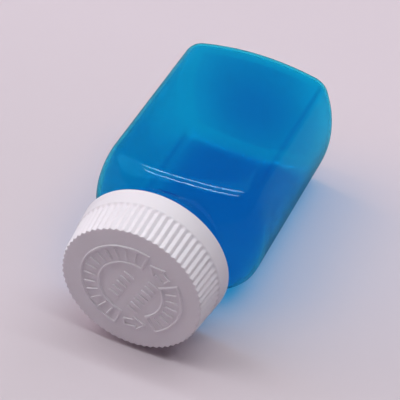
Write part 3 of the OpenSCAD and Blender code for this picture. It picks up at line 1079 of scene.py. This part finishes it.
def floor_paper(tone, front_shade_tone, mirrored_tone):
    """Pale matt floor with painted shade that darkens it in front, that stays pale far off and that
    shiny things mirror dimly.
    """
    material, tree = new_material("floor_paper")
    place = node(tree, "ShaderNodeTexCoord").outputs["Object"]
    along = node(tree, "ShaderNodeSeparateXYZ", {"Vector": place}).outputs
    # Painted shade: the floor's colour darkens from the back towards the front.
    depth = node(
        tree, "ShaderNodeMapRange",
        {"Value": along["Y"], "From Min": 2 * CAP_LOW.y, "From Max": 2 * BASE_Y},
    ).outputs["Result"]
    graded = mixed_colour(tree, depth, [*front_shade_tone, 1.0], [*tone, 1.0])
    path = node(tree, "ShaderNodeLightPath").outputs
    shade = mixed_colour(tree, mirrored_ray(tree, path), graded, [*mirrored_tone, 1.0])
    body = node(
        tree, "ShaderNodeBsdfPrincipled",
        {"Base Color": shade, "Roughness": 0.9, "Specular IOR Level": 0.2},
    ).outputs[0]
    far_off = eased(tree, span(tree, along["X"], along["Y"]), FLOOR_LIT, FLOOR_FAR)
    far_seen = math_node(tree, "MULTIPLY", far_off, seen_ray(tree, path))
    glow = node(tree, "ShaderNodeEmission", {"Color": [*tone, 1.0], "Strength": 1.0}).outputs[0]
    both = node(tree, "ShaderNodeMixShader", {0: far_seen, 1: body, 2: glow}).outputs[0]
    node(tree, "ShaderNodeOutputMaterial", {"Surface": both})
    return material


def cap_finish(settings):
    """The white plastic that the outer cap and its face marks share."""
    known = bpy.data.materials.get("cap_white")
    return known or white_plastic(
        "cap_white", settings.white,
        rough_low=0.38, rough_high=0.55, bump_strength=0.12, milkiness=0.15,
    )


def dress(node_name, material):
    """Gives a carried-over CAD node its finish."""
    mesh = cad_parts[node_name].data
    mesh.materials.clear()
    mesh.materials.append(material)


class VIAL_OT_bottle(bpy.types.Operator):
    """Builds the blown bottle with its threaded neck"""

    bl_idname = "vial.bottle"
    bl_label = "Bottle"
    SHARP_DEGREES = 50

    def execute(self, context):
        settings = context.scene.vial_bottle
        form = BottleForm(settings)
        points, faces = form.skin()
        finish = blue_plastic(settings, form)
        piece = make_piece("vial_bottle", points, faces, self.SHARP_DEGREES, finish)
        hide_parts("bottle")
        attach(piece, "bottle")
        return {"FINISHED"}


class VIAL_OT_outer_cap(bpy.types.Operator):
    """Builds the ribbed outer cap with the drive lugs under its top"""

    bl_idname = "vial.outer_cap"
    bl_label = "Outer cap"
    SHARP_DEGREES = 40
    # How far the lugs reach into the top that they hang from.
    LUG_SUNK = 0.2 * MM

    def execute(self, context):
        s = context.scene.vial_cap
        form = CapForm(s)
        under_top = form.face - s.top_thickness
        parts = [form.skin()]
        pitch = 2 * math.pi / s.lug_count
        for k in range(s.lug_count):
            parts.append(sector_block(
                s.lug_inner, s.lug_outer, (k + 0.5) * pitch, s.lug_angle,
                under_top - s.lug_height, under_top + self.LUG_SUNK,
            ))
        points, faces = gathered(parts)
        piece = make_piece("ribbed_cap", points, faces, self.SHARP_DEGREES, cap_finish(s))
        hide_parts("outer_cap")
        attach(piece, "outer_cap")
        return {"FINISHED"}


class VIAL_OT_face_marks(bpy.types.Operator):
    """Raises the framed arcs, turn arrows and plain bars on the cap's face"""

    bl_idname = "vial.face_marks"
    bl_label = "Face marks"
    SHARP_DEGREES = 60

    def outlines(self, s):
        """Closed lines of the two frames and the two arrows, each with its width."""
        middle = (s.frame_inner + s.frame_outer) / 2
        for start, end in (LONG_ARC, SHORT_ARC):
            yield frame_path(s.frame_inner, s.frame_outer, start, end), s.mark_width
        for theta in ARROW_ANGLES:
            yield arrow_path(middle, theta, s.arrow_length, s.arrow_width), s.mark_width * ARROW_LINE

    def bars(self, s):
        """Open lines of the plain bars in the frames and in the middle."""
        middle = (s.frame_inner + s.frame_outer) / 2
        for (start, end), number in ((LONG_ARC, s.long_bars), (SHORT_ARC, s.short_bars)):
            for theta in np.linspace(start, end, number + 2)[1:-1]:
                yield bar_path(flat_point(middle, theta), theta, s.bar_length)
        for start, end, number in MIDDLE_ROWS:
            start, end = np.array(start) * MM, np.array(end) * MM
            upright = math.atan2(end[1] - start[1], end[0] - start[0]) + math.pi / 2
            for t in np.linspace(0.0, 1.0, number):
                yield bar_path((1 - t) * start + t * end, upright, s.bar_length)

    def execute(self, context):
        s = context.scene.vial_cap
        face = MARK_TOP_H - s.mark_height
        parts = [bead(path, width, face, s.mark_height, True) for path, width in self.outlines(s)]
        parts += [bead(path, s.bar_width, face, s.mark_height, False) for path in self.bars(s)]
        points, faces = gathered(parts)
        piece = make_piece("cap_face_marks", points, faces, self.SHARP_DEGREES, cap_finish(s))
        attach(piece, "outer_cap")
        return {"FINISHED"}


class VIAL_OT_inner_pieces(bpy.types.Operator):
    """Finishes the inner cap and the liner, and builds the spring ring with its bent fingers"""

    bl_idname = "vial.inner_pieces"
    bl_label = "Inner pieces"
    SHARP_DEGREES = 40
    RING_BEVEL = 0.12 * MM

    def execute(self, context):
        s = context.scene.vial_inner
        dress("inner_cap", white_plastic(
            "natural_white", s.natural,
            rough_low=0.3, rough_high=0.45, bump_strength=0.06, milkiness=0.25,
        ))
        dress("liner", liner_foam(s.foam))
        top = SPRING_FOOT_H + s.spring_thickness
        parts = [flat_ring(s.spring_inner, s.spring_outer, SPRING_FOOT_H, top, self.RING_BEVEL)]
        middle = (s.spring_inner + s.spring_outer) / 2
        for k in range(s.finger_count):
            parts.append(bent_finger(
                middle, s.finger_width, s.finger_length, s.spring_thickness,
                SPRING_FOOT_H, SPRING_TOP_H, k * 2 * math.pi / s.finger_count,
            ))
        points, faces = gathered(parts)
        finish = white_plastic(
            "spring_white", s.natural,
            rough_low=0.25, rough_high=0.4, bump_strength=0.05, milkiness=0.2,
        )
        piece = make_piece("spring_fingers", points, faces, self.SHARP_DEGREES, finish)
        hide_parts("spring_ring")
        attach(piece, "spring_ring")
        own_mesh(piece)
        return {"FINISHED"}


def hang_lamp(scene, name, place, across, along, power, light, target, mirrored):
    """A rectangular lamp that shines from a place at a target, and that shiny things may mirror."""
    lamp = bpy.data.lights.new(name, "AREA")
    lamp.shape = "RECTANGLE"
    lamp.size = across
    lamp.size_y = along
    lamp.energy = power
    lamp.color = light
    hung = bpy.data.objects.new(name, lamp)
    hung.location = place
    hung.visible_glossy = mirrored
    hung.rotation_euler = (target - place).to_track_quat("-Z", "Y").to_euler()
    scene.collection.objects.link(hung)


def studio_air(settings):
    """World that lights the vial evenly and faintly, looks pale itself and is mirrored dimly."""
    world = bpy.data.worlds.new("studio")
    world.use_nodes = True
    tree = world.node_tree
    tree.nodes.clear()
    path = node(tree, "ShaderNodeLightPath").outputs

    def air(tone, strength):
        inputs = {"Color": [*tone, 1.0], "Strength": strength}
        return node(tree, "ShaderNodeBackground", inputs).outputs[0]

    mixed = air(settings.sky_light, settings.sky_strength)
    for ray, other in (
        (mirrored_ray(tree, path), air(settings.mirrored_tone, settings.mirrored_level)),
        (seen_ray(tree, path), air(settings.floor_tone, 1.0)),
    ):
        mixed = node(tree, "ShaderNodeMixShader", {0: ray, 1: mixed, 2: other}).outputs[0]
    node(tree, "ShaderNodeOutputWorld", {"Surface": mixed})
    return world


class VIAL_OT_stage(bpy.types.Operator):
    """Sets the camera, the soft light and the pale floor"""

    bl_idname = "vial.stage"
    bl_label = "Stage"
    # Width of the camera's sensor in its own millimetres.
    SENSOR_WIDTH = 36.0
    CLIP_START = 10 * MM

    def set_camera(self, scene, s):
        """Stands the camera where the vial is seen from the front, right and above."""
        camera = bpy.data.objects.new("camera", bpy.data.cameras.new("camera"))
        camera.location = s.camera_place
        camera.rotation_euler = s.camera_turn
        camera.data.lens = s.lens
        camera.data.sensor_width = self.SENSOR_WIDTH
        camera.data.clip_start = self.CLIP_START
        scene.collection.objects.link(camera)
        scene.camera = camera

    def hang_lamps(self, scene, s):
        """Hangs two tubes that shine straight down, and two broad lamps that shine at the vial."""
        for side in (-0.5, 0.5):
            place = Vector(s.tube_place) + Vector((0.0, side * s.tube_gap, 0.0))
            below = place - Vector((0, 0, 1))
            hang_lamp(
                scene, "tube", place, s.tube_length, s.tube_width,
                s.tube_power, s.tube_light, below, True,
            )
        for name, place, across, along, power in (
            ("soft_box", s.box_place, s.box_width, s.box_length, s.box_power),
            ("panel", s.panel_place, s.panel_width, s.panel_length, s.panel_power),
        ):
            hang_lamp(scene, name, Vector(place), across, along, power, s.soft_light, Vector(), False)

    def execute(self, context):
        scene = context.scene
        s = scene.vial_stage
        self.set_camera(scene, s)
        self.hang_lamps(scene, s)
        scene.world = studio_air(s)
        # The vial's axis is level, so the floor leans to touch the cap's rim and the bottle's heel.
        rise = BOTTLE_LOW.z / (BASE_Y - scene.vial_bottle.base_round - CAP_HIGH.y)
        half = s.floor_half
        flat = ((-half, -half), (half, -half), (half, half), (-half, half))
        mesh = bpy.data.meshes.new("floor")
        mesh.from_pydata([(x, y, rise * (y - CAP_HIGH.y)) for x, y in flat], [], [(0, 1, 2, 3)])
        mesh.materials.append(floor_paper(s.floor_tone, s.front_shade_tone, s.mirrored_tone))
        floor = bpy.data.objects.new("floor", mesh)
        scene.collection.objects.link(floor)
        scene.view_settings.view_transform = "Standard"
        return {"FINISHED"}


class VIAL_PT_panel(bpy.types.Panel):
    """Lists the vial's pieces in the sidebar"""

    bl_idname = "VIAL_PT_panel"
    bl_label = "Vial"
    bl_space_type = "VIEW_3D"
    bl_region_type = "UI"
    bl_category = "Vial"

    def draw(self, context):
        for operator in OPERATORS:
            self.layout.operator(operator.bl_idname)


SETTINGS = {
    "vial_bottle": VialBottleSettings,
    "vial_cap": VialCapSettings,
    "vial_inner": VialInnerSettings,
    "vial_stage": VialStageSettings,
}
OPERATORS = (VIAL_OT_stage, VIAL_OT_bottle, VIAL_OT_outer_cap, VIAL_OT_face_marks, VIAL_OT_inner_pieces)


def register():
    """Registers the settings, the operators and the panel."""
    for kind in (*SETTINGS.values(), *OPERATORS, VIAL_PT_panel):
        bpy.utils.register_class(kind)
    for name, kind in SETTINGS.items():
        setattr(bpy.types.Scene, name, bpy.props.PointerProperty(type=kind))


def unregister():
    """Takes them all away again."""
    for name in SETTINGS:
        delattr(bpy.types.Scene, name)
    for kind in (VIAL_PT_panel, *reversed(OPERATORS), *SETTINGS.values()):
        bpy.utils.unregister_class(kind)


def main():
    register()
    bpy.ops.vial.stage()
    bpy.ops.vial.bottle()
    bpy.ops.vial.outer_cap()
    bpy.ops.vial.face_marks()
    bpy.ops.vial.inner_pieces()


if __name__ == "__main__":
    main()
